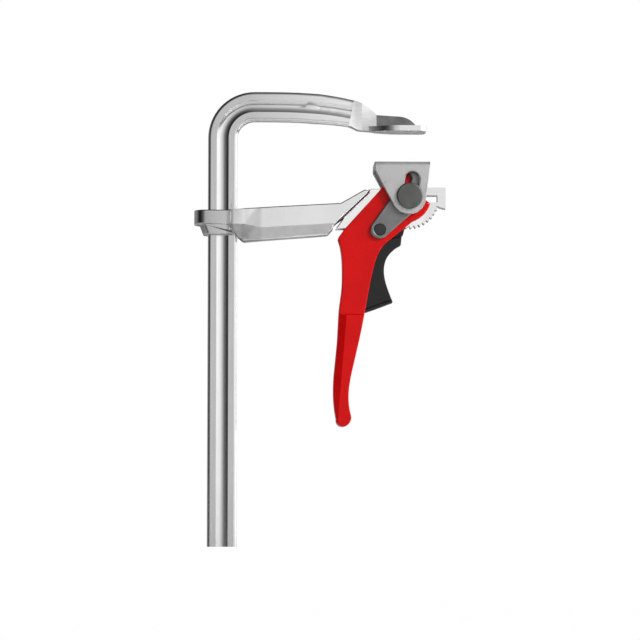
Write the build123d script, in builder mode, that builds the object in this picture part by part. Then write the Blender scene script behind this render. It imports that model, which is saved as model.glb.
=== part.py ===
from build123d import *
from math import asin, cos, degrees, radians, sin
import os

os.makedirs("parts", exist_ok=True)

# All-steel lever clamp. Millimetres. The origin is on the fixed jaw's clamping face, over the
# middle of the pressure bracket. X points from the rail to the jaws' tips, Z up along the
# rail, and Y across the clamp.
# Plane.XZ looks at the clamp from its front (-Y) side, so angles there run anticlockwise.

# ---------------------------------------------------------------- sizes

# Rail and top arm
throat = 123.75
rail_width = 22.0
rail_thickness = 10.5
rail_corner = 2.3
rail_foot_z = -311.5
groove_width = 8.8
groove_depth = 1.2
groove_edge = 0.5
bend_radius = 24.0
top_arm_z = 18.9
droop_start = 39.75
droop_radius = 400.0
neck_start_x = -62.0
neck_radius = 205.0
neck_width = 20.0
jaw_root_x = -38.0

# Fixed jaw, forged on the end of the rail
jaw_tip_x = 18.4
jaw_half_width = 10.0
jaw_fan_x = -2.0
jaw_waist_x = -30.0
jaw_waist_half = 3.8
jaw_sole_x = -20.0
jaw_plate = 4.3
jaw_corner = 4.5
jaw_edge = 0.4
rib_start_x = -19.0
rib_start_z = 12.9
rib_end_x = -1.5
rib_end_z = 11.8
rib_toe_x = 11.0
rib_top_half = 2.3
rib_foot_half = 4.2
rib_fillet = 2.0
shoulder_bulge = 1.5

# Main pin and pawl pin
pin_x = 5.2
pin_z = -49.8
pin_radius = 5.3
pin_head_radius = 9.8
pin_head_thickness = 2.9
pin_head_edge = 0.5
pin_spigot_radius = 4.0
pawl_pin_dx = -22.3
pawl_pin_dz = -24.9
pawl_pin_radius = 4.1
pawl_pin_proud = 0.6

# Layers across the clamp, from the mid-plane out
tongue_half = 5.0
cheek_thickness = 2.5
cam_plate_thickness = 3.0
bracket_sheet = 3.0
side_gap = 0.3
bracket_gap = 0.4
plate_seat = 0.1
running_fit = 0.05

# Hub of the sliding arm; heights are from the main pin
hub_wall = 10.25
hub_half = 11.0
hub_lower_half = 9.8
hub_lower_wall = 6.25
hub_lower_taper = 2.9
hub_lower_right = 8.35
hub_round = 8.5
hub_lower_round = 5.0
hub_top_dz = -10.4
hub_step_dz = -21.0
hub_foot_dz = -28.6
rail_clearance = 0.35

# Arm; the step is where the thick arm ends and the thin tongue goes on
arm_root = 2.65
blank_top_dz = 11.8
blank_foot_dz = -38.2
arm_half = 9.0
arm_shelf = 16.25
arm_shelf_foot_half = 8.2
arm_top_half = 6.4
arm_foot_half = 5.4
arm_neck = 28.05
arm_heel = 15.75
arm_heel_dz = -33.4
ridge_neck_dz = -23.5
ridge_end_dz = -18.8
tongue_top_dz = 5.6
tongue_foot_dz = -24.1
step_top_dx = -30.2
step_foot_dx = -59.3
step_foot_dz = -28.4

# Toothed sector and hook, about the main pin
tooth_pitch = 9.0
tooth_count = 11
tooth_tip_radius = 23.2
tooth_depth = 2.0
tooth_rake = 1.6
tooth_land = 1.6
stop_angle = -17.0
stop_radius = 28.9
hook_top_dz = 7.6
notch_left_dx = 11.4
notch_right_dx = 21.5
notch_top_dz = 1.7
notch_foot_dz = -3.6

# Lever
lever_swing = 80.0
cam_inset = 1.0
back_wall = 2.8
back_wall_top_dz = -34.0
channel_floor_dz = -90.7
grip_top_dz = -88.5
grip_half = 8.8
grip_bevel_face = 5.9
grip_bevel_side = 3.4
grip_bevel_lean = 4.7
outside = 120.0

# Cam plates
plate_small_radius = 6.9
plate_big_radius = 10.7
plate_hole_radius = 4.8
plate_hole_dx = -3.0
plate_hole_dz = 13.7

# Pawl, its spring, and the trigger
pawl_boss_radius = 6.0
pawl_half = 4.7
pawl_tip_gap = 0.3
pawl_face_angle = -97.9
pawl_tang_half = 2.0
pawl_tang_length = 24.0
pawl_nose_lean = 1.3
pawl_nose_depth = 5.3
tang_fit = 0.05
nose_gap = 0.9
spring_wire = 0.9
spring_coil_radius = 4.75
spring_pitch = 1.0
spring_side = 1.5
spring_gap = 0.6
spring_short_angle = 75.0
spring_long_angle = 131.7
spring_short_leg = 7.5
spring_long_leg = 28.9
trigger_half = 4.4
trigger_lip_half = 4.9
trigger_lip = 2.2
lip_dz = -74.8
lip_slope = 0.358

# Pressure bracket
bracket_half_length = 21.0
bracket_top_dz = 26.3
bracket_bend = 3.6
bracket_left_dz = 19.8
bracket_right_dz = 21.8
bracket_end_radius = 13.1
bracket_end_shift = -0.6
bracket_edge = 0.4
slot_lean = 9.0
slot_length = 12.8
slot_clearance = 0.2
cam_drop = 9.5
cam_gap = 0.3

# ---------------------------------------------------------------- derived sizes

rail_axis_x = -throat - rail_width / 2
channel_half = tongue_half + side_gap
cheek_half = channel_half + cheek_thickness
plate_inner = cheek_half + plate_seat
plate_outer = plate_inner + cam_plate_thickness
bracket_inner = plate_outer + bracket_gap
bracket_outer = bracket_inner + bracket_sheet
head_inner = bracket_outer + side_gap
head_outer = head_inner + pin_head_thickness
tooth_root_radius = tooth_tip_radius - tooth_depth
pawl_tip_radius = tooth_tip_radius + pawl_tip_gap
cam_height = bracket_top_dz - bracket_sheet - cam_gap
cam_rate = cam_drop / radians(lever_swing)


def at(dx, dz):
    """A point on Plane.XZ, measured from the main pin."""
    return (pin_x + dx, pin_z + dz)


def across(half):
    """The XZ plane moved back, so that an extrusion of 2 * half straddles the mid-plane."""
    return Plane.XZ.offset(-half)


def around(radius, angle):
    """A point on Plane.XZ at a radius and an angle about the main pin."""
    return at(radius * cos(radians(angle)), radius * sin(radians(angle)))


def cam_point(turn, inset=0.0):
    """Where the cam meets the bracket's web once the lever has opened by turn degrees."""
    t = radians(turn)
    x = -cam_rate
    z = cam_height - inset - cam_rate * t
    return at(x * cos(t) + z * sin(t), z * cos(t) - x * sin(t))


# ---------------------------------------------------------------- rail with fixed jaw

droop_start_x = rail_axis_x + droop_start
neck_angle = degrees(asin((neck_start_x - droop_start_x) / droop_radius))
root_sine = sin(radians(neck_angle)) + (jaw_root_x - neck_start_x) / neck_radius
root_angle = degrees(asin(root_sine))
groove_radius = ((groove_width / 2) ** 2 + groove_depth**2) / (2 * groove_depth)
groove_centre = rail_thickness / 2 - groove_depth + groove_radius


def bar_section(plane, width):
    """The bar's grooved profile, square to its length."""
    with BuildSketch(plane) as section:
        Rectangle(width, rail_thickness)
        fillet(section.vertices(), rail_corner)
        with Locations((0, groove_centre), (0, -groove_centre)):
            Circle(groove_radius, mode=Mode.SUBTRACT)
        groove_edges = section.vertices().filter_by(lambda v: abs(v.X) < groove_width / 2 + 0.1)
        fillet(groove_edges, groove_edge)
    return section.sketch


with BuildLine(Plane.XZ) as rail_path:
    upright = Line((rail_axis_x, rail_foot_z), (rail_axis_x, top_arm_z - bend_radius))
    bend = JernArc(upright @ 1, (0, 1), bend_radius, -90)
    reach = Line(bend @ 1, (droop_start_x, top_arm_z))
    droop = JernArc(reach @ 1, (1, 0), droop_radius, -neck_angle)
with BuildLine(Plane.XZ) as neck_path:
    JernArc(
        (neck_start_x, top_arm_z - droop_radius * (1 - cos(radians(neck_angle)))),
        (cos(radians(neck_angle)), -sin(radians(neck_angle))),
        neck_radius,
        neck_angle - root_angle,
    )
neck_end = neck_path.wires()[0] @ 1
end_dx = neck_width / 2 * sin(radians(root_angle))
end_dz = neck_width / 2 * cos(radians(root_angle))
rail_end_top = (neck_end.X + end_dx, neck_end.Z + end_dz)
rail_end_foot = (neck_end.X - end_dx, neck_end.Z - end_dz)
shoulder_mid = (
    (rail_end_top[0] + rib_start_x) / 2 + shoulder_bulge * 0.54,
    (rail_end_top[1] + rib_start_z) / 2 + shoulder_bulge * 0.84,
)

# Fixed jaw: a rib that thins from the bar to the tip, on a plate that fans out from a waist
with BuildPart() as jaw:
    for x, foot_half, top_half in (
        (rail_end_foot[0], rail_thickness / 2 - 0.3, rail_thickness / 2 - 0.3),
        (jaw_waist_x, jaw_waist_half, rail_thickness / 2 - 0.3),
        (rib_start_x, rib_foot_half, rib_top_half),
        (rib_toe_x, rib_foot_half, rib_top_half),
    ):
        with BuildSketch(Plane.YZ.offset(x)):
            Polygon(
                (-foot_half, 0),
                (foot_half, 0),
                (top_half, rail_end_top[1]),
                (-top_half, rail_end_top[1]),
            )
    loft(ruled=True)
    with BuildSketch(Plane.XY) as fan:
        with BuildLine():
            side = Spline(
                (rail_end_foot[0], rail_thickness / 2 - 0.3),
                (jaw_waist_x, jaw_waist_half),
                ((jaw_waist_x + jaw_fan_x) / 2, (jaw_waist_half + jaw_half_width) / 2 - 0.7),
                (jaw_fan_x, jaw_half_width),
                tangents=((1, 0), (1, 0)),
            )
            Line(side @ 1, (jaw_tip_x, jaw_half_width))
            Line((jaw_tip_x, jaw_half_width), (jaw_tip_x, 0))
            mirror(about=Plane.XZ)
            Line((side @ 0), (rail_end_foot[0], -(side @ 0).Y))
        make_face()
        fillet(fan.vertices().group_by(Axis.X)[-1], jaw_corner)
    extrude(amount=jaw_plate)
    with BuildSketch(across(2 * jaw_half_width)) as jaw_side:
        with BuildLine():
            shoulder = ThreePointArc(rail_end_top, shoulder_mid, (rib_start_x, rib_start_z))
            crest = Line(shoulder @ 1, (rib_end_x, rib_end_z))
            toe = TangentArc(crest @ 1, (rib_toe_x, jaw_plate), tangent=crest % 1)
            heel = Spline(
                (jaw_sole_x, 0),
                (jaw_waist_x, 1.0),
                (jaw_waist_x - 3.8, 1.7),
                (rail_end_foot[0] + 2.5, rail_end_foot[1] - 0.7),
                rail_end_foot,
            )
            Polyline(toe @ 1, (jaw_tip_x, jaw_plate), (jaw_tip_x, 0), heel @ 0)
            Line(heel @ 1, rail_end_top)
        make_face()
        hollow = jaw_side.vertices().sort_by_distance((rib_start_x, rib_start_z, 0))
        fillet(hollow[0], rib_fillet)
    extrude(amount=4 * jaw_half_width, mode=Mode.INTERSECT)
    clamp_face = jaw.faces().filter_by(Plane.XY).sort_by(Axis.Z)[0]
    chamfer(clamp_face.edges(), jaw_edge)

with BuildPart() as rail:
    rail_foot = Plane(origin=(rail_axis_x, 0, rail_foot_z))
    sweep(bar_section(rail_foot, rail_width), path=rail_path.wires()[0])
    # Towards the jaw the bar loses a little height
    neck_wire = neck_path.wires()[0]
    loft(
        [
            bar_section(
                Plane(origin=neck_wire @ share, x_dir=(0, 1, 0), z_dir=neck_wire % share)
                * Rot(Z=90),
                rail_width + (neck_width - rail_width) * share,
            )
            for share in (0, 0.5, 1)
        ]
    )
    add(jaw.part)
rail.part.label = "rail"
export_step(rail.part, "parts/rail.step")

# ---------------------------------------------------------------- sliding arm

hub_top_z = pin_z + hub_top_dz
hub_step_z = pin_z + hub_step_dz
hub_foot_z = pin_z + hub_foot_dz
hub_left_x = rail_axis_x - rail_width / 2 - hub_wall
lower_left_x = rail_axis_x - rail_width / 2 - hub_lower_wall
hub_right_x = rail_axis_x + hub_lower_right
arm_root_x = rail_axis_x + arm_root
arm_shelf_x = rail_axis_x + arm_shelf
arm_neck_x = rail_axis_x + arm_neck
step_top = at(step_top_dx, tongue_top_dz)
step_foot = at(step_foot_dx, step_foot_dz)
rise_foot = at(step_top_dx - 21.0, -4.6)
arm_span = rise_foot[0] - arm_root_x

with BuildSketch(across(tongue_half)) as sector:
    with Locations(at(0, 0)):
        Circle(tooth_tip_radius)
    Polygon(
        at(0, 0),
        around(3 * tooth_tip_radius, stop_angle - tooth_pitch * tooth_count - 8),
        at(0, -4 * tooth_tip_radius),
        around(3 * tooth_tip_radius, stop_angle),
        mode=Mode.INTERSECT,
    )
    with Locations(at(0, 0)):
        with PolarLocations(0, tooth_count, stop_angle, -tooth_pitch * tooth_count):
            root = (tooth_root_radius, 0)
            rake = tooth_tip_radius * radians(tooth_rake) * (tooth_depth + 1) / tooth_depth
            slope_angle = radians(-tooth_pitch + tooth_rake + tooth_land)
            slope = (tooth_tip_radius * cos(slope_angle), tooth_tip_radius * sin(slope_angle))
            Polygon(
                root,
                (tooth_tip_radius + 1, rake),
                (slope[0] + 1, slope[1]),
                slope,
                mode=Mode.SUBTRACT,
            )
    # Hook: its lower edge is the radial stop that the pawl meets when the lever is open
    hook_right_x = around(stop_radius, stop_angle)[0]
    Polygon(
        at(0, 0),
        around(tooth_root_radius - 1, stop_angle),
        around(stop_radius, stop_angle),
        (hook_right_x, pin_z + hook_top_dz),
        at(0, hook_top_dz),
    )
    # Tongue between the lever's cheeks
    Polygon(
        at(step_top_dx - 8, tongue_top_dz - 6),
        at(step_top_dx, tongue_top_dz),
        at(0, hook_top_dz),
        around(tooth_root_radius - 1, -60),
        around(tooth_tip_radius, stop_angle - tooth_pitch * tooth_count - 8),
        at(-17.2, -14.7),
        at(-29.2, -14.7),
        at(-38.6, tongue_foot_dz),
        at(step_foot_dx + 4, tongue_foot_dz),
    )
    with Locations(at((notch_left_dx + notch_right_dx) / 2, (notch_top_dz + notch_foot_dz) / 2)):
        Rectangle(
            notch_right_dx - notch_left_dx, notch_top_dz - notch_foot_dz, mode=Mode.SUBTRACT
        )

with BuildPart() as sliding_arm:
    # Arm blank: drafted sections, thickest on the ridge line
    for x, half, foot, ridge_dz in (
        (arm_root_x, hub_half, arm_foot_half, hub_step_dz),
        (arm_shelf_x, hub_half, arm_shelf_foot_half, hub_step_dz),
        (arm_neck_x, arm_half, arm_foot_half, ridge_neck_dz),
        (step_top[0] + 3, arm_half, arm_foot_half, ridge_end_dz),
    ):
        top = arm_top_half + half - arm_half
        with BuildSketch(Plane.YZ.offset(x)):
            Polygon(
                (top, pin_z + blank_top_dz),
                (half, pin_z + ridge_dz),
                (foot, pin_z + blank_foot_dz),
                (-foot, pin_z + blank_foot_dz),
                (-half, pin_z + ridge_dz),
                (-top, pin_z + blank_top_dz),
            )
    loft(ruled=True)

    # Side view of the thick arm
    with BuildSketch(across(2 * hub_half)):
        with BuildLine():
            top_edge = Spline(
                (arm_root_x, hub_top_z),
                (arm_root_x + 0.31 * arm_span, pin_z - 8.1),
                (arm_root_x + 0.67 * arm_span, pin_z - 6.2),
                rise_foot,
            )
            Polyline(
                top_edge @ 1,
                (step_top[0] - 3.4, step_top[1]),
                (step_top[0] + 0.5, step_top[1]),
                at(step_top_dx, 3.0),
                at(-54.7, -21.0),
                at(-55.5, tongue_foot_dz),
                step_foot,
                (rail_axis_x + arm_heel, pin_z + arm_heel_dz),
                (rail_axis_x + 10.55, hub_foot_z - 0.6),
                (arm_root_x, hub_step_z),
                (arm_root_x, hub_top_z),
            )
        make_face()
    extrude(amount=4 * hub_half, mode=Mode.INTERSECT)

    # Hub: the upper band, and the smaller band below it
    with BuildSketch(Plane.XY.offset(hub_step_z)) as upper_band:
        with Locations(((hub_left_x + arm_root_x) / 2 + 2, 0)):
            Rectangle(arm_root_x - hub_left_x + 4, 2 * hub_half)
        fillet(upper_band.vertices().group_by(Axis.X)[0], hub_round)
    extrude(amount=hub_top_z - hub_step_z)
    with BuildSketch(Plane.XY.offset(hub_step_z)) as lower_top:
        with Locations(((lower_left_x + hub_right_x) / 2, 0)):
            Rectangle(hub_right_x - lower_left_x, 2 * hub_lower_half)
        fillet(lower_top.vertices().group_by(Axis.X)[0], hub_lower_round)
    with BuildSketch(Plane.XY.offset(hub_foot_z)) as lower_foot:
        with Locations(((lower_left_x + hub_lower_taper + hub_right_x) / 2, 0)):
            Rectangle(hub_right_x - lower_left_x - hub_lower_taper, 2 * hub_lower_half - 0.6)
        fillet(lower_foot.vertices().group_by(Axis.X)[0], hub_lower_round)
    loft()

    extrude(sector.sketch, amount=2 * tongue_half)

    # Rail passage and pin bore
    with BuildSketch(Plane.XY.offset(hub_top_z + 5)) as passage:
        with Locations((rail_axis_x, 0)):
            RectangleRounded(
                rail_width + 2 * rail_clearance,
                rail_thickness + 2 * rail_clearance,
                rail_corner,
            )
    extrude(amount=-60, mode=Mode.SUBTRACT)
    with BuildSketch(across(2 * tongue_half)):
        with Locations(at(0, 0)):
            Circle(pin_radius + running_fit)
    extrude(amount=4 * tongue_half, mode=Mode.SUBTRACT)
sliding_arm.part.label = "sliding_arm"
export_step(sliding_arm.part, "parts/sliding_arm.step")

# ---------------------------------------------------------------- lever

kink = at(-53.4, -31.0)
front_at_grip = at(-52.9, grip_top_dz)[0]
with BuildSketch(across(cheek_half)) as lever_side:
    with BuildLine():
        front_top = Line(at(-21.9, 5.2), at(-48.6, -24.4))
        front_kink = Line(front_top @ 1, kink)
        front = Spline(
            kink,
            at(-50.7, -43.0),
            at(-50.1, -56.0),
            at(-50.4, -68.0),
            at(-52.3, -83.0),
            at(-53.9, -108.0),
            at(-56.9, -142.0),
            at(-54.8, -166.6),
        )
        heel = ThreePointArc(front @ 1, at(-53.4, -170.9), at(-49.5, -172.3))
        sole = ThreePointArc(heel @ 1, at(-45.0, -169.9), at(-43.8, -164.2))
        back = Spline(
            sole @ 1,
            at(-45.6, -149.5),
            at(-41.4, -124.3),
            at(-34.0, -90.2),
            at(-26.7, -53.0),
            at(-22.4, -41.0),
            at(-13.85, -31.8),
        )
        tail = Line(back @ 1, at(2.7, -18.3))
        head = ThreePointArc(tail @ 1, around(17.0, -45), around(16.8, -14.5))
        cam_end = cam_point(lever_swing, cam_inset)
        lobe = Spline(
            cam_end,
            cam_point(0.66 * lever_swing, cam_inset),
            cam_point(0.33 * lever_swing, cam_inset),
            cam_point(0, cam_inset),
        )
        Polyline(head @ 1, at(12.2, -2.6), cam_end)
        Polyline(lobe @ 1, at(-12.0, 18.0), front_top @ 0)
    make_face()

with BuildPart() as lever:
    extrude(lever_side.sketch, amount=2 * cheek_half)
    # Channel for the tongue, the pawl and the trigger; it leaves a back wall facing the rail
    with BuildSketch(across(channel_half)) as channel:
        with BuildLine():
            inner = Spline(
                at(-50.6 + back_wall, back_wall_top_dz - 1.6),
                at(-50.1 + back_wall, -56.0),
                at(-50.4 + back_wall, -68.0),
                at(-53.0 + back_wall, channel_floor_dz),
            )
            Polyline(
                inner @ 1,
                at(outside, channel_floor_dz),
                at(outside, outside),
                at(-outside, outside),
                at(-outside, back_wall_top_dz),
                inner @ 0,
            )
        make_face()
    extrude(amount=2 * channel_half, mode=Mode.SUBTRACT)
    with BuildSketch(across(2 * cheek_half)):
        with Locations(at(0, 0)):
            Circle(pin_radius + running_fit)
        with Locations(at(pawl_pin_dx, pawl_pin_dz)):
            Circle(pawl_pin_radius)
    extrude(amount=4 * cheek_half, mode=Mode.SUBTRACT)
    # Grip: the same outline, thicker, with its long edges bevelled
    with BuildSketch(across(grip_half)) as grip_side:
        add(lever_side.sketch_local)
        with Locations(at(-outside / 2, grip_top_dz - outside / 2)):
            Rectangle(outside, outside, mode=Mode.INTERSECT)
    extrude(amount=2 * grip_half)
    # Its long front edges are planed off from the step down
    lean = radians(grip_bevel_lean)
    with BuildSketch(
        Plane(
            origin=(front_at_grip + grip_bevel_face, 0, pin_z + grip_top_dz),
            x_dir=(-cos(lean), 0, sin(lean)),
            z_dir=(-sin(lean), 0, -cos(lean)),
        )
    ):
        fall = grip_half * grip_bevel_side / grip_bevel_face
        for hand in (-1, 1):
            Polygon(
                (0, hand * grip_half),
                (grip_half, hand * (grip_half - fall)),
                (grip_half, hand * (grip_half + 1)),
                (0, hand * (grip_half + 1)),
            )
    extrude(amount=outside, mode=Mode.SUBTRACT)
lever.part.label = "lever"
export_step(lever.part, "parts/lever.step")

# ---------------------------------------------------------------- cam plates

for name, side in (("front", -1), ("rear", 1)):
    with BuildPart() as cam_plate:
        near = Plane.XZ.offset(-side * plate_inner)
        with BuildSketch(near) as link:
            with Locations(at(0, 0)):
                Circle(plate_big_radius)
            with Locations(at(pawl_pin_dx, pawl_pin_dz)):
                Circle(plate_small_radius)
            make_hull()
            with BuildLine():
                lobe = Spline(
                    cam_point(lever_swing),
                    cam_point(0.66 * lever_swing),
                    cam_point(0.33 * lever_swing),
                    cam_point(0),
                )
                Polyline(
                    lobe @ 1,
                    at(-11.0, 20.6),
                    at(-13.8, 14.0),
                    at(-13.4, 1.5),
                    at(0, 0),
                    at(plate_big_radius, 0),
                    lobe @ 0,
                )
            make_face()
            with Locations(at(0, 0)):
                Circle(pin_radius + running_fit, mode=Mode.SUBTRACT)
            with Locations(at(pawl_pin_dx, pawl_pin_dz)):
                Circle(pawl_pin_radius, mode=Mode.SUBTRACT)
            with Locations(at(plate_hole_dx, plate_hole_dz)):
                Circle(plate_hole_radius, mode=Mode.SUBTRACT)
        extrude(amount=-side * cam_plate_thickness)
    cam_plate.part.label = "cam_plate_" + name
    export_step(cam_plate.part, "parts/cam_plate_" + name + ".step")

# ---------------------------------------------------------------- pins

with BuildPart() as main_pin:
    with BuildSketch(Plane.XZ.offset(-head_outer)):
        with Locations(at(0, 0)):
            Circle(pin_spigot_radius)
    extrude(amount=pin_head_thickness)
    with BuildSketch(Plane.XZ.offset(-head_inner)):
        with Locations(at(0, 0)):
            Circle(pin_radius)
    extrude(amount=2 * head_inner)
    with BuildSketch(Plane.XZ.offset(head_inner)):
        with Locations(at(0, 0)):
            Circle(pin_head_radius)
    extrude(amount=pin_head_thickness)
    head_face = main_pin.faces().sort_by(Axis.Y)[0]
    chamfer(head_face.edges(), pin_head_edge)
main_pin.part.label = "main_pin"
export_step(main_pin.part, "parts/main_pin.step")

with BuildPart() as main_pin_disc:
    with BuildSketch(Plane.XZ.offset(-head_outer)):
        with Locations(at(0, 0)):
            Circle(pin_head_radius)
            Circle(pin_spigot_radius, mode=Mode.SUBTRACT)
    extrude(amount=pin_head_thickness)
    disc_rim = main_pin_disc.faces().sort_by(Axis.Y)[-1].outer_wire().edges()
    chamfer(disc_rim, pin_head_edge)
main_pin_disc.part.label = "main_pin_disc"
export_step(main_pin_disc.part, "parts/main_pin_disc.step")

with BuildPart() as pawl_pin:
    with BuildSketch(across(plate_outer + pawl_pin_proud)):
        with Locations(at(pawl_pin_dx, pawl_pin_dz)):
            Circle(pawl_pin_radius)
    extrude(amount=2 * (plate_outer + pawl_pin_proud))
    chamfer(pawl_pin.faces().filter_by(Plane.XZ).edges(), pawl_pin_proud / 2)
pawl_pin.part.label = "pawl_pin"
export_step(pawl_pin.part, "parts/pawl_pin.step")

# ---------------------------------------------------------------- pawl, trigger and spring

# Both are drawn with the pawl's teeth just clear of the sector
pawl_x = pin_x + pawl_pin_dx
pawl_z = pin_z + pawl_pin_dz
tip = around(pawl_tip_radius, pawl_face_angle)
valley = around(pawl_tip_radius + 1.75, pawl_face_angle - 6.4)
second_tip = around(pawl_tip_radius, pawl_face_angle - tooth_pitch - 0.9)
pawl_nose = (tip[0] - pawl_nose_lean, tip[1] - pawl_nose_depth)
with BuildSketch(across(pawl_half)) as pawl_side:
    with BuildLine():
        Polyline(
            (pawl_x, pawl_z + pawl_boss_radius),
            around(pawl_tip_radius + 2.6, pawl_face_angle - 18.0),
            second_tip,
            valley,
            tip,
            pawl_nose,
            (pawl_x + 10.5, pawl_z - 5.6),
            (pawl_x + 2.5, pawl_z - 9.0),
            (pawl_x - 1.4, pawl_z - pawl_tang_length),
            (pawl_x - 6.6, pawl_z - pawl_tang_length),
            (pawl_x - 5.0, pawl_z),
            (pawl_x, pawl_z + pawl_boss_radius),
        )
    make_face()
    with Locations((pawl_x, pawl_z)):
        Circle(pawl_boss_radius)

with BuildPart() as pawl:
    extrude(pawl_side.sketch, amount=2 * pawl_half)
    # Below the teeth only the tang is left, for the trigger to sit on
    with BuildSketch(across(2 * pawl_half)) as below:
        Polygon(
            (pawl_x - outside, pawl_z - 7.0),
            (pawl_x + 6.0, pawl_z - 7.0),
            (pawl_x + 6.0, pawl_z - outside),
            (pawl_x - outside, pawl_z - outside),
        )
    extrude(amount=4 * pawl_half, mode=Mode.SUBTRACT)
    with BuildSketch(across(pawl_tang_half)):
        add(pawl_side.sketch_local)
        add(below.sketch_local, mode=Mode.INTERSECT)
    extrude(amount=2 * pawl_tang_half)
    # Eye, and the recess for the spring
    with BuildSketch(across(2 * pawl_half)):
        with Locations((pawl_x, pawl_z)):
            Circle(pawl_pin_radius + running_fit)
    extrude(amount=4 * pawl_half, mode=Mode.SUBTRACT)
    with BuildSketch(Plane.XZ.offset(-spring_side)):
        with Locations((pawl_x, pawl_z)):
            Circle(spring_coil_radius + spring_wire)
        Polygon(
            (pawl_x - 9, pawl_z - 4.0),
            (pawl_x + 4.0, pawl_z),
            (pawl_x + 9.6, pawl_z + 0.2),
            (pawl_x + 9.9, pawl_z + 4.2),
            (pawl_x, pawl_z + 6.4),
            (pawl_x - 9, pawl_z + 6.4),
        )
    extrude(amount=-pawl_half, mode=Mode.SUBTRACT)
pawl.part.label = "pawl"
export_step(pawl.part, "parts/pawl.step")

with BuildPart() as trigger:
    with BuildSketch(across(trigger_half)) as trigger_side:
        with BuildLine():
            nose = Polyline((pawl_nose[0] - nose_gap, pawl_nose[1] - nose_gap), at(-6.1, -36.0))
            hollow = Spline(
                nose @ 1,
                at(-12.7, -40.5),
                at(-16.3, -45.1),
                at(-18.7, -53.0),
                at(-16.4, -68.0),
                at(-12.2, -79.2),
            )
            foot = Spline(hollow @ 1, at(-21.9, -82.8), at(-32.2, -86.4), at(-36.2, -87.4))
            spine = Spline(foot @ 1, at(-38.6, -78.0), at(-38.4, -62.0), at(-33.5, -43.0))
            Polyline(
                spine @ 1,
                (pawl_x - 8.5, pawl_z - 8.0),
                (pawl_x + 2.5, pawl_z - 9.0 - tang_fit),
                (pawl_x + 10.5, pawl_z - 5.6 - tang_fit),
                nose @ 0,
            )
        make_face()
    extrude(amount=2 * trigger_half)
    # Lip along the lower end, for the fingertip
    with BuildSketch(across(trigger_lip_half)) as lip:
        add(trigger_side.sketch_local)
        Polygon(
            at(0, lip_dz + trigger_lip),
            at(-outside, lip_dz + trigger_lip - lip_slope * outside),
            at(-outside, -outside),
            at(0, -outside),
            mode=Mode.INTERSECT,
        )
    extrude(amount=2 * trigger_lip_half)
    # Socket for the pawl's tang
    with BuildSketch(across(pawl_tang_half + tang_fit)):
        Polygon(
            (pawl_x + 6.4, pawl_z - 6.0),
            (pawl_x + 6.4, pawl_z - 10.0),
            (pawl_x + 2.5 + tang_fit, pawl_z - 10.0),
            (pawl_x - 1.4 + tang_fit, pawl_z - pawl_tang_length - 0.3),
            (pawl_x - 6.6 - tang_fit, pawl_z - pawl_tang_length - 0.3),
            (pawl_x - 6.0 - tang_fit, pawl_z - 6.0),
        )
    extrude(amount=2 * (pawl_tang_half + tang_fit), mode=Mode.SUBTRACT)
trigger.part.label = "trigger"
export_step(trigger.part, "parts/trigger.step")

# Leg spring round the pawl pin: wound along its own Z, then laid across the clamp
spring_turns = 1 + (spring_long_angle - spring_short_angle) / 360
with BuildPart() as coil:
    with BuildLine():
        wind = Helix(spring_pitch, spring_pitch * spring_turns, spring_coil_radius, lefthand=True)
        short_leg = Line(wind @ 0 - spring_short_leg * (wind % 0), wind @ 0)
        Line(wind @ 1, wind @ 1 + spring_long_leg * (wind % 1))
    with BuildSketch(Plane(origin=short_leg @ 0, z_dir=short_leg % 0)):
        RegularPolygon(spring_wire / 2, 8)  # round wire, kept light
    sweep(transition=Transition.ROUND)
spring_plane = Plane(
    origin=(pawl_x, spring_side + spring_gap + spring_wire / 2, pawl_z),
    x_dir=(cos(radians(spring_short_angle)), 0, sin(radians(spring_short_angle))),
    z_dir=(0, 1, 0),
)
pawl_spring = spring_plane * coil.part
pawl_spring.label = "pawl_spring"
export_step(pawl_spring, "parts/pawl_spring.step")

# ---------------------------------------------------------------- pressure bracket

bracket_top_z = pin_z + bracket_top_dz
with BuildPart() as pressure_bracket:
    # Folded sheet, seen along the clamp
    with BuildSketch(Plane.YZ.offset(-bracket_half_length)) as fold:
        with Locations((0, bracket_top_z - 25)):
            Rectangle(2 * bracket_outer, 50)
        fillet(fold.vertices().group_by(Axis.Y)[-1], bracket_bend)
        with Locations((0, bracket_top_z - bracket_sheet - 25)):
            Rectangle(2 * bracket_inner, 50, mode=Mode.SUBTRACT)
    extrude(amount=2 * bracket_half_length)
    # Outline of the cheeks
    with BuildSketch(across(2 * bracket_outer)):
        Polygon(
            (-bracket_half_length, bracket_top_z),
            (-bracket_half_length, pin_z + bracket_left_dz),
            (bracket_half_length - 0.5, pin_z + bracket_right_dz),
            (bracket_half_length, bracket_top_z),
        )
        with Locations(at(bracket_end_shift, bracket_end_shift)):
            Circle(bracket_end_radius)
        make_hull()
    extrude(amount=4 * bracket_outer, mode=Mode.INTERSECT)
    # Slots that ride on the main pin
    with BuildSketch(across(2 * bracket_outer)):
        slot_mid = slot_length / 2
        with Locations(at(slot_mid * sin(radians(slot_lean)), slot_mid * cos(radians(slot_lean)))):
            SlotCenterToCenter(
                slot_length, 2 * (pin_radius + slot_clearance), rotation=90 - slot_lean
            )
    extrude(amount=4 * bracket_outer, mode=Mode.SUBTRACT)
    for outer in (0, -1):
        cheek_face = pressure_bracket.faces().filter_by(Plane.XZ).sort_by(Axis.Y)[outer]
        below_bend = cheek_face.edges().filter_by(
            lambda e: e.bounding_box().max.Z < bracket_top_z - bracket_bend - 0.1
        )
        chamfer(below_bend, bracket_edge)
pressure_bracket.part.label = "pressure_bracket"
export_step(pressure_bracket.part, "parts/pressure_bracket.step")
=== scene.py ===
import math

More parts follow.
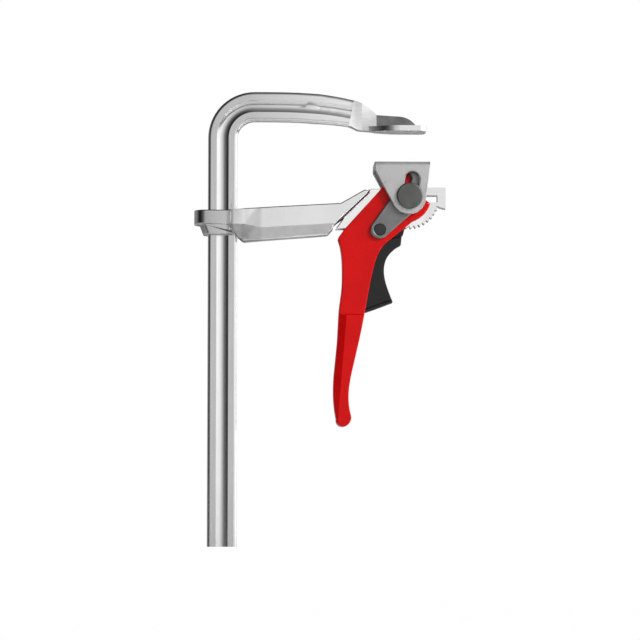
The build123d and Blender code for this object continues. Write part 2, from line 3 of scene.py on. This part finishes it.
import bmesh
import bpy
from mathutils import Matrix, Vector


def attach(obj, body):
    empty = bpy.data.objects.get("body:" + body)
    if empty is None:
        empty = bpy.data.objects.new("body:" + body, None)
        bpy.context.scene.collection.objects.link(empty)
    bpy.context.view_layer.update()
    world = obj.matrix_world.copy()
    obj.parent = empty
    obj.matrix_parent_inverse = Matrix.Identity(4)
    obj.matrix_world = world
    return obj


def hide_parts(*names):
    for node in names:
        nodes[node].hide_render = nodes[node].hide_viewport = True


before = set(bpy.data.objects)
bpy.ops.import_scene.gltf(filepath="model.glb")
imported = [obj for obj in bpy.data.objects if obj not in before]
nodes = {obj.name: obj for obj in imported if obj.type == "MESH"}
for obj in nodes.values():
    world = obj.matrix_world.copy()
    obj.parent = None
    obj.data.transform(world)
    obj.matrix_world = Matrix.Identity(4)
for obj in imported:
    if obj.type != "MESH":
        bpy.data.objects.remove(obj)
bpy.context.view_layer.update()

print("frame loaded:", len(nodes), "nodes")


# Small helpers for node trees

def newMaterial(name):
    material = bpy.data.materials.new(name)
    material.use_nodes = True
    tree = material.node_tree
    tree.nodes.clear()
    output = tree.nodes.new("ShaderNodeOutputMaterial")
    shader = tree.nodes.new("ShaderNodeBsdfPrincipled")
    tree.links.new(shader.outputs["BSDF"], output.inputs["Surface"])
    return material, tree, shader


def objectCoords(tree, scale=(1, 1, 1)):
    # the piece's own coordinates, stretched
    coords = tree.nodes.new("ShaderNodeTexCoord")
    mapping = tree.nodes.new("ShaderNodeMapping")
    mapping.inputs["Scale"].default_value = scale
    tree.links.new(coords.outputs["Object"], mapping.inputs["Vector"])
    return mapping.outputs["Vector"]


def noise(tree, vector, scale, detail, roughness):
    node = tree.nodes.new("ShaderNodeTexNoise")
    node.inputs["Scale"].default_value = scale
    node.inputs["Detail"].default_value = detail
    node.inputs["Roughness"].default_value = roughness
    tree.links.new(vector, node.inputs["Vector"])
    return node.outputs["Fac"]


def ramp(tree, value, stops):
    # stops are (position, grey or colour) pairs
    node = tree.nodes.new("ShaderNodeValToRGB")
    elements = node.color_ramp.elements
    while len(elements) < len(stops):
        elements.new(0.5)
    for element, (position, colour) in zip(elements, stops):
        shade = colour if isinstance(colour, tuple) else (colour, colour, colour)
        element.position = position
        element.color = (*shade, 1)
    tree.links.new(value, node.inputs["Fac"])
    return node.outputs["Color"]


def mixColour(tree, factor, low, high, blend="MIX"):
    node = tree.nodes.new("ShaderNodeMix")
    node.data_type = "RGBA"
    node.blend_type = blend
    factorIn, lowIn, highIn = (node.inputs[index] for index in (0, 6, 7))  # its colour sockets
    for socket, value in ((factorIn, factor), (lowIn, low), (highIn, high)):
        if isinstance(value, bpy.types.NodeSocket):
            tree.links.new(value, socket)
        elif isinstance(value, tuple):
            socket.default_value = (*value, 1)
        else:
            socket.default_value = value
    return node.outputs[2]


def mathNode(tree, operation, first, second):
    node = tree.nodes.new("ShaderNodeMath")
    node.operation = operation
    for socket, value in zip(node.inputs, (first, second)):
        if isinstance(value, bpy.types.NodeSocket):
            tree.links.new(value, socket)
        else:
            socket.default_value = value
    return node.outputs[0]


def bump(tree, height, strength, distance):
    node = tree.nodes.new("ShaderNodeBump")
    node.inputs["Strength"].default_value = strength
    node.inputs["Distance"].default_value = distance
    tree.links.new(height, node.inputs["Height"])
    return node.outputs["Normal"]


def spreadRamp(tree, value, stops):
    # a ramp over the whole range of its own stops
    low, high = stops[0][0], stops[-1][0]
    spread = tree.nodes.new("ShaderNodeMapRange")
    spread.inputs["From Min"].default_value = low
    spread.inputs["From Max"].default_value = high
    tree.links.new(value, spread.inputs["Value"])
    placed = [((at - low) / (high - low), grey) for at, grey in stops]
    return ramp(tree, spread.outputs["Result"], placed)


def alongX(tree, stops):
    # a ramp that follows the object's X axis; stops are (metres, grey) pairs
    coords = tree.nodes.new("ShaderNodeTexCoord")
    parts = tree.nodes.new("ShaderNodeSeparateXYZ")
    tree.links.new(coords.outputs["Object"], parts.inputs[0])
    return spreadRamp(tree, parts.outputs["X"], stops)


# Steel of one kind: a base colour mottled by cloudy noise, with a fine grain

steelNoise = dict(cloudDetail=5.0, cloudRoughness=0.6, grainDetail=3.0, grainRoughness=0.7,
                  cloudEnds=(0.32, 0.68), grainEnds=(0.3, 0.7), glossEnds=(0.3, 0.7))


def steel(name, look):
    material, tree, shader = newMaterial(name)
    cloudy = noise(tree, objectCoords(tree), look["cloudScale"],
                   steelNoise["cloudDetail"], steelNoise["cloudRoughness"])
    grain = noise(tree, objectCoords(tree), look["grainScale"],
                  steelNoise["grainDetail"], steelNoise["grainRoughness"])
    dark = tuple(c * (1 - look["mottle"]) for c in look["colour"])
    light = tuple(min(c * (1 + look["mottle"]), 1.0) for c in look["colour"])
    cloudMask = ramp(tree, cloudy, list(zip(steelNoise["cloudEnds"], (0.0, 1.0))))
    clouds = mixColour(tree, cloudMask, dark, light)
    grainMask = ramp(tree, grain, list(zip(steelNoise["grainEnds"], (1 - look["grainDepth"], 1.0))))
    colour = mixColour(tree, 1.0, clouds, grainMask, "MULTIPLY")
    # a tone, where given, is painted shade and highlight along X
    if "tone" in look:
        colour = mixColour(tree, 1.0, colour, alongX(tree, look["tone"]), "MULTIPLY")
    tree.links.new(colour, shader.inputs["Base Color"])
    gloss = ramp(tree, cloudy, list(zip(steelNoise["glossEnds"], look["roughness"])))
    tree.links.new(gloss, shader.inputs["Roughness"])
    shader.inputs["Metallic"].default_value = look["metallic"]
    tree.links.new(bump(tree, grain, look["bumpStrength"], look["bumpDepth"]), shader.inputs["Normal"])
    return material


# The drawn bar: fine scratches run up the rail, and along the top arm past the bend.
# Its tone along X is painted shade and highlight; it is fitted and is not a known finish.

railLook = dict(
    colour=0.93, cloudShade=0.96, cloudTint=0.995, cloudScale=55, cloudDetail=5.0, cloudRoughness=0.6,
    cloudEnds=(0.3, 0.7),
    tone=[(-0.146, 0.69), (-0.115, 0.69), (-0.098, 0.78), (-0.078, 0.86), (-0.054, 0.95), (-0.040, 0.95),
          (-0.034, 0.7), (-0.015, 0.7), (-0.008, 0.9)],
    streakAcross=1500, streakAlong=14, streakDetail=3.0, streakRoughness=0.65,
    streakTone=[(0.3, 0.93), (0.62, 1.0)], streakEnds=(0.3, 0.7),
    bendStart=-0.117, bendEnd=-0.106, roughness=(0.13, 0.2), bumpStrength=0.08, bumpDepth=0.00004)


def drawnSteel(name, look):
    material, tree, shader = newMaterial(name)
    across, along = look["streakAcross"], look["streakAlong"]
    detail, rough = look["streakDetail"], look["streakRoughness"]
    upright = noise(tree, objectCoords(tree, (across, across, along)), 1.0, detail, rough)
    level = noise(tree, objectCoords(tree, (along, across, across)), 1.0, detail, rough)
    past = alongX(tree, [(look["bendStart"], 0.0), (look["bendEnd"], 1.0)])
    streaks = mixColour(tree, past, upright, level)
    cloudy = noise(tree, objectCoords(tree), look["cloudScale"], look["cloudDetail"], look["cloudRoughness"])
    grey = look["colour"]
    cloudMask = ramp(tree, cloudy, list(zip(look["cloudEnds"], (0.0, 1.0))))
    shade = (grey * look["cloudShade"],) * 3
    clouds = mixColour(tree, cloudMask, shade, (grey, grey, grey * look["cloudTint"]))
    marks = mixColour(tree, 1.0, clouds, ramp(tree, streaks, look["streakTone"]), "MULTIPLY")
    # painted shade and highlight: the tone ramp along X darkens and lightens the steel in bands
    colour = mixColour(tree, 1.0, marks, alongX(tree, look["tone"]), "MULTIPLY")
    tree.links.new(colour, shader.inputs["Base Color"])
    low, high = look["roughness"]
    gloss = ramp(tree, streaks, list(zip(look["streakEnds"], (high, low))))
    tree.links.new(gloss, shader.inputs["Roughness"])
    shader.inputs["Metallic"].default_value = 1.0
    tree.links.new(bump(tree, streaks, look["bumpStrength"], look["bumpDepth"]), shader.inputs["Normal"])
    return material


railSteel = drawnSteel("drawnRailSteel", railLook)

# the arm's tone along X is painted shade and highlight, fitted too
armLook = dict(
    colour=(0.97, 0.97, 0.965), metallic=1.0, mottle=0.04, cloudScale=45, grainScale=1500, grainDepth=0.07,
    tone=[(-0.150, 0.46), (-0.142, 0.60), (-0.1325, 0.66), (-0.1305, 0.42), (-0.1275, 0.42),
          (-0.1262, 0.74), (-0.119, 0.76), (-0.1165, 0.64), (-0.1075, 0.70), (-0.1045, 0.92),
          (-0.06, 1.0), (0.014, 1.0), (0.019, 0.86)],
    roughness=(0.12, 0.2), bumpStrength=0.12, bumpDepth=0.00006)
paintedShadeShare = 0.76  # painted shade: how light the faces below the ridge are, beside the rest of the arm
forgedSteel = steel("forgedArmSteel", armLook)
# painted shade: a darker copy of the arm's steel, for the faces below the ridge
paintedShadeArmSteel = steel("paintedShadeArmSteel", dict(
    armLook, mottle=0.1, cloudScale=160, grainDepth=0.14,
    tone=[(at, grey * paintedShadeShare) for at, grey in armLook["tone"]]))
# painted shade: a dark steel for the sides of the jaw's rib
paintedShadeRibSteel = steel("paintedShadeRibSteel", dict(
    colour=(0.2, 0.2, 0.2), metallic=1.0, mottle=0.2, cloudScale=120, grainScale=1300, grainDepth=0.2,
    roughness=(0.3, 0.4), bumpStrength=0.2, bumpDepth=0.00008))
# painted shade: a near-black steel for the step's wall, in the crease beside the lever
paintedShadeStepSteel = steel("paintedShadeStepWall", dict(
    colour=(0.16, 0.16, 0.16), metallic=0.8, mottle=0.15, cloudScale=90, grainScale=1300, grainDepth=0.25,
    roughness=(0.4, 0.5), bumpStrength=0.2, bumpDepth=0.00008))
plateSteel = steel("camPlateSteel", dict(
    colour=(0.235, 0.235, 0.235), metallic=0.9, mottle=0.12, cloudScale=90, grainScale=1300, grainDepth=0.3,
    roughness=(0.34, 0.46), bumpStrength=0.3, bumpDepth=0.00008))
bracketSteel = steel("bracketSheetSteel", dict(
    colour=(0.50, 0.50, 0.497), metallic=0.5, mottle=0.07, cloudScale=70, grainScale=1200, grainDepth=0.14,
    roughness=(0.26, 0.36), bumpStrength=0.18, bumpDepth=0.00007))
pinSteel = steel("darkPinSteel", dict(
    colour=(0.12, 0.125, 0.118), metallic=0.8, mottle=0.12, cloudScale=120, grainScale=1200, grainDepth=0.2,
    roughness=(0.32, 0.42), bumpStrength=0.15, bumpDepth=0.00007))
rivetSteel = steel("darkRivetSteel", dict(
    colour=(0.05, 0.05, 0.052), metallic=0.8, mottle=0.15, cloudScale=200, grainScale=1400, grainDepth=0.2,
    roughness=(0.34, 0.45), bumpStrength=0.15, bumpDepth=0.00007))
pawlSteel = steel("blackPawlSteel", dict(
    colour=(0.014, 0.014, 0.015), metallic=0.6, mottle=0.2, cloudScale=200, grainScale=1400, grainDepth=0.2,
    roughness=(0.35, 0.48), bumpStrength=0.2, bumpDepth=0.0001))
springSteel = steel("springWire", dict(
    colour=(0.5, 0.5, 0.5), metallic=1.0, mottle=0.05, cloudScale=200, grainScale=1400, grainDepth=0.1,
    roughness=(0.22, 0.3), bumpStrength=0.1, bumpDepth=0.0001))


# Enamel and plastic: two near colours in soft clouds under a fine bump

coatNoise = dict(cloudDetail=3.0, cloudRoughness=0.5, peelDetail=2.0, glossRoughness=0.5,
                 glossEnds=(0.3, 0.7))
redLook = dict(
    colours=((0.51, 0.0012, 0.0015), (0.57, 0.0015, 0.0018)), cloudScale=38, cloudEnds=(0.35, 0.65),
    peelScale=420, peelRoughness=0.5, glossScale=2600, glossDetail=1.0, roughness=(0.22, 0.32),
    mirror=0.16, bumpStrength=0.15, bumpDepth=0.00015)
plasticLook = dict(
    colours=((0.006, 0.006, 0.0065), (0.010, 0.010, 0.011)), cloudScale=80, cloudEnds=(0.3, 0.7),
    peelScale=1100, peelRoughness=0.6, roughness=(0.42, 0.56),
    mirror=0.3, bumpStrength=0.35, bumpDepth=0.0001)


def smoothCoat(name, look):
    # where glossScale is given, the gloss has its own fine specks; if not, it follows the bump
    material, tree, shader = newMaterial(name)
    coords = objectCoords(tree)
    cloudy = noise(tree, coords, look["cloudScale"], coatNoise["cloudDetail"], coatNoise["cloudRoughness"])
    peel = noise(tree, coords, look["peelScale"], coatNoise["peelDetail"], look["peelRoughness"])
    specks = peel
    if "glossScale" in look:
        specks = noise(tree, coords, look["glossScale"], look["glossDetail"], coatNoise["glossRoughness"])
    cloudMask = ramp(tree, cloudy, list(zip(look["cloudEnds"], (0.0, 1.0))))
    tree.links.new(mixColour(tree, cloudMask, *look["colours"]), shader.inputs["Base Color"])
    gloss = ramp(tree, specks, list(zip(coatNoise["glossEnds"], look["roughness"])))
    tree.links.new(gloss, shader.inputs["Roughness"])
    shader.inputs["Specular IOR Level"].default_value = look["mirror"]
    tree.links.new(bump(tree, peel, look["bumpStrength"], look["bumpDepth"]), shader.inputs["Normal"])
    return material


finishes = {
    "rail": railSteel,
    "sliding_arm": forgedSteel,
    "lever": smoothCoat("redEnamel", redLook),
    "cam_plate_front": plateSteel,
    "cam_plate_rear": plateSteel,
    "main_pin": pinSteel,
    "main_pin_disc": pinSteel,
    "pawl_pin": rivetSteel,
    "pawl": pawlSteel,
    "pawl_spring": springSteel,
    "trigger": smoothCoat("blackTriggerPlastic", plasticLook),
    "pressure_bracket": bracketSteel,
}
for nodeName, material in finishes.items():
    node = nodes[nodeName]
    node.data.materials.clear()
    node.data.materials.append(material)
print("finishes on", len(finishes), "nodes")

# the sides of the jaw's rib get painted shade, a darker steel, fitted
rib = dict(fromX=-0.0205, lowZ=0.0062, highZ=0.0135, side=0.3)
rail = nodes["rail"].data
rail.materials.append(paintedShadeRibSteel)
for face in rail.polygons:
    left = min(rail.vertices[index].co.x for index in face.vertices)
    onRib = left > rib["fromX"] and rib["lowZ"] < face.center.z < rib["highZ"]
    if onRib and abs(face.normal.y) > rib["side"]:
        face.material_index = 1


# Pieces with broken edges: a merged copy of the solid whose sharp edges are rounded off

softEdges = {  # edges right of upTo stay sharp
    "lever": dict(body="lever", slot="red_paint", width=0.0007, segments=3, angle=32),
    "sliding_arm": dict(body="arm", slot="forged_steel", width=0.0008, segments=3, angle=28,
                        crease=11, upTo=-0.014),
    "pressure_bracket": dict(body="bracket", slot="bracket_steel", width=0.0009, segments=3, angle=35),
    "cam_plate_front": dict(body="lever", slot="plate_steel", width=0.0008, segments=3, angle=35),
    "cam_plate_rear": dict(body="lever", slot="plate_steel", width=0.0008, segments=3, angle=35),
    "main_pin": dict(body="pin", slot="pin_steel", width=0.0002, segments=2, angle=15),
    "trigger": dict(body="pawl", slot="black_plastic", width=0.0006, segments=3, angle=35),
}
merge = dict(distance=0.000002, flat=math.radians(0.6))
mainPin = (0.0052, -0.0498)
stepWall = dict(normal=Vector((0.72, 0.0, -0.69)), least=0.9, fromX=-0.060, toX=-0.022, outerY=0.0069,
                slant=0.0018, rightOf=-0.03, rightShare=0.7)
lowerFaces = dict(down=-0.08, side=0.6)
pinRim = dict(face=-0.0174, inner=0.0093, newInner=0.0090)
cheekRim = dict(width=0.0017, segments=5, near=0.019, below=0.002, outerY=0.006, keepOff=0.004)


def reach(point):
    # distance from the main pin's axis
    return math.hypot(point.x - mainPin[0], point.z - mainPin[1])


def isSharp(edge, look):
    return edge.is_manifold and edge.calc_face_angle() > math.radians(look["angle"])


def edgeMiddle(edge):
    return (edge.verts[0].co + edge.verts[1].co) / 2


def shapeArm(shape, mesh):
    # the step's wall leans back a little, and has painted shade, a darker steel; both are fitted
    mesh.materials.append(paintedShadeStepSteel)
    moved = set()
    for face in shape.faces:
        facing = face.normal.dot(stepWall["normal"]) > stepWall["least"]
        if facing and stepWall["fromX"] < face.calc_center_median().x < stepWall["toX"]:
            face.material_index = 1
            moved.update(v for v in face.verts if abs(v.co.y) > stepWall["outerY"])
    # the faces below the ridge get painted shade, fitted too
    mesh.materials.append(paintedShadeArmSteel)
    for face in shape.faces:
        if face.normal.z < lowerFaces["down"] and abs(face.normal.y) > lowerFaces["side"]:
            face.material_index = 2
    for vert in moved:
        share = stepWall["rightShare"] if vert.co.x > stepWall["rightOf"] else 1.0
        vert.co.x -= stepWall["slant"] * share


def shapeLever(shape, look):
    # the cheeks' rim round the main pin has a wide rounding
    rim = []
    for edge in shape.edges:
        middle = edgeMiddle(edge)
        outside = (middle.x > mainPin[0] and middle.z < mainPin[1] - cheekRim["below"]
                   and abs(middle.y) > cheekRim["outerY"])
        if isSharp(edge, look) and outside and reach(middle) < cheekRim["near"]:
            rim.append(edge)
    bmesh.ops.bevel(shape, geom=rim, offset=cheekRim["width"], offset_type="OFFSET",
                    segments=cheekRim["segments"], profile=0.5, affect="EDGES", clamp_overlap=False)


def shapePin(shape):
    # the chamfer round the head is drawn in a little
    spread = pinRim["newInner"] / pinRim["inner"]
    for vert in shape.verts:
        if vert.co.y < pinRim["face"]:
            vert.co.x = mainPin[0] + (vert.co.x - mainPin[0]) * spread
            vert.co.z = mainPin[1] + (vert.co.z - mainPin[1]) * spread


def softCopy(nodeName, look):
    # flat stretches are joined into one face each, so that the bevel meets only real edges
    mesh = nodes[nodeName].data.copy()
    mesh.name = nodeName + "_soft"
    shape = bmesh.new()
    shape.from_mesh(mesh)
    bmesh.ops.remove_doubles(shape, verts=shape.verts, dist=merge["distance"])
    bmesh.ops.dissolve_limit(shape, angle_limit=merge["flat"], verts=shape.verts, edges=shape.edges)
    if nodeName == "sliding_arm":
        shapeArm(shape, mesh)
    if nodeName == "lever":
        shapeLever(shape, look)
    if nodeName == "main_pin":
        shapePin(shape)
    weight = shape.edges.layers.float.new("bevel_weight_edge")
    for edge in shape.edges:
        middle = edgeMiddle(edge)
        rounded = nodeName == "lever" and reach(middle) < cheekRim["near"] + cheekRim["keepOff"]
        wanted = isSharp(edge, look) and not rounded and middle.x < look.get("upTo", math.inf)
        edge[weight] = 1.0 if wanted else 0.0
    shape.to_mesh(mesh)
    shape.free()
    piece = bpy.data.objects.new(nodeName + "_soft", mesh)
    bpy.context.scene.collection.objects.link(piece)
    bevel = piece.modifiers.new("brokenEdges", "BEVEL")
    bevel.width = look["width"]
    bevel.segments = look["segments"]
    bevel.limit_method = "WEIGHT"
    bevel.use_clamp_overlap = False
    mesh.shade_smooth()
    mesh.set_sharp_from_angle(angle=math.radians(look.get("crease", look["angle"])))
    even = piece.modifiers.new("evenNormals", "WEIGHTED_NORMAL")
    even.keep_sharp = True
    return piece


for nodeName, look in softEdges.items():
    piece = softCopy(nodeName, look)
    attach(piece, look["body"])
    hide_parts(nodeName)
print("soft edges on", ", ".join(softEdges))


# Floor, backdrop, lamps and camera

# the floor is low enough for the lever at every pose
studio = dict(floorZ=-0.47, floorHalf=6.0, floorGrey=0.85, white=1.0, glow=1.042, shadowShare=0.06)


def stageSurface(name):
    # white to the camera, with a share of plain diffuse that holds the shadow; diffuse to all else
    material = bpy.data.materials.new(name)
    material.use_nodes = True
    tree = material.node_tree
    tree.nodes.clear()
    output = tree.nodes.new("ShaderNodeOutputMaterial")
    mix = tree.nodes.new("ShaderNodeMixShader")
    light = tree.nodes.new("ShaderNodeLightPath")
    diffuse = tree.nodes.new("ShaderNodeBsdfDiffuse")
    glow = tree.nodes.new("ShaderNodeEmission")
    grey = studio["floorGrey"]
    diffuse.inputs["Color"].default_value = (grey, grey, grey, 1)
    glow.inputs["Color"].default_value = (1, 1, 1, 1)
    glow.inputs["Strength"].default_value = studio["glow"]
    share = mathNode(tree, "MULTIPLY", light.outputs["Is Camera Ray"], 1 - studio["shadowShare"])
    tree.links.new(share, mix.inputs[0])
    tree.links.new(diffuse.outputs[0], mix.inputs[1])
    tree.links.new(glow.outputs[0], mix.inputs[2])
    tree.links.new(mix.outputs[0], output.inputs["Surface"])
    return material


half, floorZ = studio["floorHalf"], studio["floorZ"]
floorMesh = bpy.data.meshes.new("floor")
floorCorners = [(-half, -half, floorZ), (half, -half, floorZ), (half, half, floorZ), (-half, half, floorZ)]
floorMesh.from_pydata(floorCorners, [], [(0, 1, 2, 3)])
floor = bpy.data.objects.new("floor", floorMesh)
bpy.context.scene.collection.objects.link(floor)
floorMesh.materials.append(stageSurface("paleFloor"))

# Light tent: brightness by direction. Going round from the front, stops are (turns to the right
# of -Y, brightness); going up, stops are (sine of the height above the horizon, brightness).
tent = dict(
    around=[(-0.5, 0.0), (-0.483, 0.03), (-0.463, 0.8), (-0.43, 0.4), (-0.31, 0.47), (-0.268, 0.38),
            (-0.23, 0.15), (-0.19, 0.03), (-0.13, 0.03), (-0.106, 0.10), (-0.078, 0.17), (-0.05, 0.29),
            (0.0, 0.85), (0.03, 1.1), (0.06, 1.4), (0.12, 1.5), (0.2, 1.3), (0.3, 1.1), (0.42, 0.7),
            (0.463, 0.8), (0.483, 0.03), (0.5, 0.0)],
    height=[(-1.0, 0.8), (-0.5, 0.85), (-0.3, 0.85), (-0.17, 1.0), (0.12, 1.0), (0.27, 0.9),
            (0.42, 0.62), (0.7, 0.3), (0.92, 0.15), (1.0, 0.12)],
)


def tentRamp(tree, value, stops):
    # brightness as a share of the brightest stop
    peak = max(bright for at, bright in stops)
    return spreadRamp(tree, value, [(at, bright / peak) for at, bright in stops])


world = bpy.data.worlds.new("studio")
bpy.context.scene.world = world
world.use_nodes = True
worldTree = world.node_tree
background = worldTree.nodes["Background"]
backdrop = worldTree.nodes.new("ShaderNodeBackground")
worldMix = worldTree.nodes.new("ShaderNodeMixShader")
worldPath = worldTree.nodes.new("ShaderNodeLightPath")
wayOut = worldTree.nodes.new("ShaderNodeTexCoord")
wayParts = worldTree.nodes.new("ShaderNodeSeparateXYZ")
worldTree.links.new(wayOut.outputs["Generated"], wayParts.inputs[0])
towards = mathNode(worldTree, "MULTIPLY", wayParts.outputs["Y"], -1.0)
bearing = mathNode(worldTree, "ARCTAN2", wayParts.outputs["X"], towards)
turns = mathNode(worldTree, "DIVIDE", bearing, 2 * math.pi)
roundTent = tentRamp(worldTree, turns, tent["around"])
upTent = tentRamp(worldTree, wayParts.outputs["Z"], tent["height"])
tentLight = mixColour(worldTree, 1.0, roundTent, upTent, "MULTIPLY")
worldTree.links.new(tentLight, background.inputs["Color"])
background.inputs["Strength"].default_value = max(bright for at, bright in tent["around"])
backdrop.inputs["Color"].default_value = (1, 1, 1, 1)
backdrop.inputs["Strength"].default_value = studio["white"]
worldTree.links.new(worldPath.outputs["Is Camera Ray"], worldMix.inputs[0])
worldTree.links.new(background.outputs[0], worldMix.inputs[1])
worldTree.links.new(backdrop.outputs[0], worldMix.inputs[2])
worldTree.links.new(worldMix.outputs[0], worldTree.nodes["World Output"].inputs["Surface"])


def turnTo(thing, place, aim):
    thing.location = place
    thing.rotation_euler = (Vector(aim) - Vector(place)).to_track_quat("-Z", "Y").to_euler()


# soft lamps light paint and edges but do not mirror in the metal
lampAim = (-0.06, 0.0, -0.12)
lamps = {
    "fillLeft": dict(place=(-1.3, -0.9, -0.55), side=0.9, watts=9, soft=True),
    "fillBehind": dict(place=(0.2, 1.7, 0.5), side=1.0, watts=15, soft=True),
    "edgeRight": dict(place=(1.5, -0.1, 0.2), side=0.8, watts=14, soft=True),
    "keyRight": dict(place=(1.1, -1.3, 0.85), side=0.4, watts=22, soft=False),
    "rimRight": dict(place=(1.4, 0.2, 0.1), side=0.8, watts=5, soft=False),
}
for name, look in lamps.items():
    light = bpy.data.lights.new(name, "AREA")
    light.shape = "RECTANGLE"
    light.size = light.size_y = look["side"]
    light.energy = look["watts"]
    lamp = bpy.data.objects.new(name, light)
    bpy.context.scene.collection.objects.link(lamp)
    lamp.visible_glossy = not look["soft"]
    turnTo(lamp, look["place"], lampAim)

cameraSpot = dict(place=(-0.12531, -2.03050, -0.31083), aim=(-0.0615, 0.0, -0.1420), lens=152.9,
                  sensor=36, clip=(0.05, 50))
camera = bpy.data.objects.new("camera", bpy.data.cameras.new("camera"))
bpy.context.scene.collection.objects.link(camera)
camera.data.sensor_width = cameraSpot["sensor"]
camera.data.lens = cameraSpot["lens"]
camera.data.clip_start, camera.data.clip_end = cameraSpot["clip"]
turnTo(camera, cameraSpot["place"], cameraSpot["aim"])
bpy.context.scene.camera = camera
bpy.context.scene.view_settings.view_transform = "Standard"
print("stage, lamps and camera ready")
